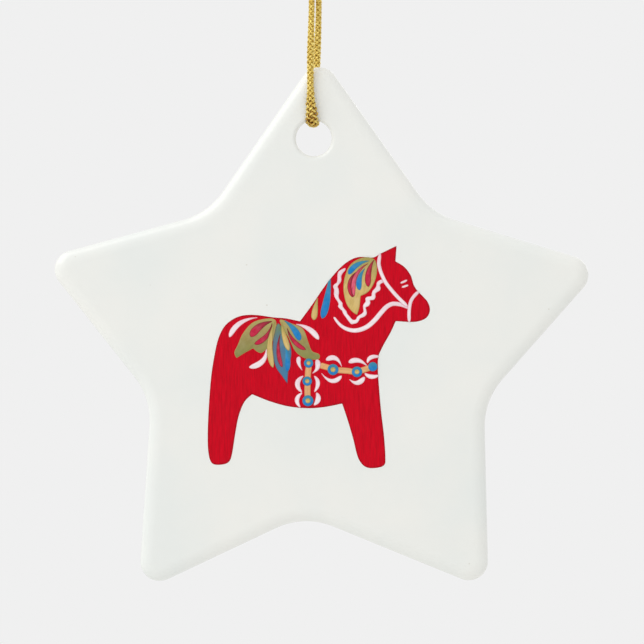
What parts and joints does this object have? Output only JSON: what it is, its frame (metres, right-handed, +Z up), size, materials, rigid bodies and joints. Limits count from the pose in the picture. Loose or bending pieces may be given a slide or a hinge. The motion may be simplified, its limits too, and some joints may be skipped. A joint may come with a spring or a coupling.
{
  "type": "hanging star ornament",
  "caption": "White glazed porcelain star with a folk-painted red horse on its front, hung by its top hole on a knotted loop of gold braided cord",
  "frame": {"origin": "The place in the top of the cord loop, under the knot, where a hook bears", "axes": "+X to the right as the painted face is seen, +Y from the painted face to the back, +Z up along the cord"},
  "size_m": [0.0749, 0.005, 0.1246],
  "materials": {
    "glazed_porcelain": "warm white porcelain under a smooth, softly shining glaze",
    "red_enamel": "crimson red overglaze colour, brushed on in fine upright strokes and fired",
    "green_enamel": "olive green overglaze colour with brush marks",
    "teal_enamel": "olive to blue overglaze colour with brush marks",
    "white_enamel": "opaque pinkish white overglaze colour",
    "crimson_enamel": "deep crimson overglaze colour",
    "pink_enamel": "rose pink overglaze colour",
    "ochre_enamel": "ochre yellow overglaze colour",
    "amber_enamel": "amber overglaze colour",
    "blue_enamel": "bright blue overglaze colour",
    "gold_braid": "round braid of metallised gold yarn"
  },
  "bodies": {
    "hanging_cord": {"cord_front_upper": "gold_braid", "cord_back_upper": "gold_braid", "cord_knot": "gold_braid", "cord_tail_left": "gold_braid", "cord_tail_right": "gold_braid"},
    "cord_bight": {"cord_front_lower": "gold_braid", "cord_back_lower": "gold_braid"},
    "star": {"star_body": "glazed_porcelain", "horse_ground": "red_enamel", "saddle_leaf_rear": "green_enamel", "saddle_leaf_front": "green_enamel", "saddle_leaf_middle": "teal_enamel", "saddle_petals_white": "white_enamel", "saddle_petals_crimson": "crimson_enamel", "saddle_petals_ochre": "ochre_enamel", "saddle_petals_blue": "blue_enamel", "neck_dash_blue": "blue_enamel", "neck_dash_ochre": "ochre_enamel", "mane_leaf": "ochre_enamel", "mane_petals_blue": "blue_enamel", "mane_petal_pink": "pink_enamel", "mane_petal_crimson": "crimson_enamel", "mane_border": "white_enamel", "bridle_cheek_band": "white_enamel", "bridle_nose_band": "white_enamel", "bridle_rein": "white_enamel", "eye_strokes": "white_enamel", "girth_strap": "amber_enamel", "breast_strap": "amber_enamel", "harness_rings": "blue_enamel", "ring_centres": "ochre_enamel", "girth_scrolls": "white_enamel", "breast_scrolls": "white_enamel"}
  },
  "joints": [
    {"name": "cord_twist", "type": "hinge", "parent": "hanging_cord", "child": "cord_bight", "pos_m": [0, 0, -0.0255], "axis": [0, 0, 1], "range_deg": [-180, 180]},
    {"name": "star_swing", "type": "hinge", "parent": "cord_bight", "child": "star", "pos_m": [0, 0, -0.0515], "axis": [0, 1, 0], "range_deg": [-90, 90]}
  ]
}
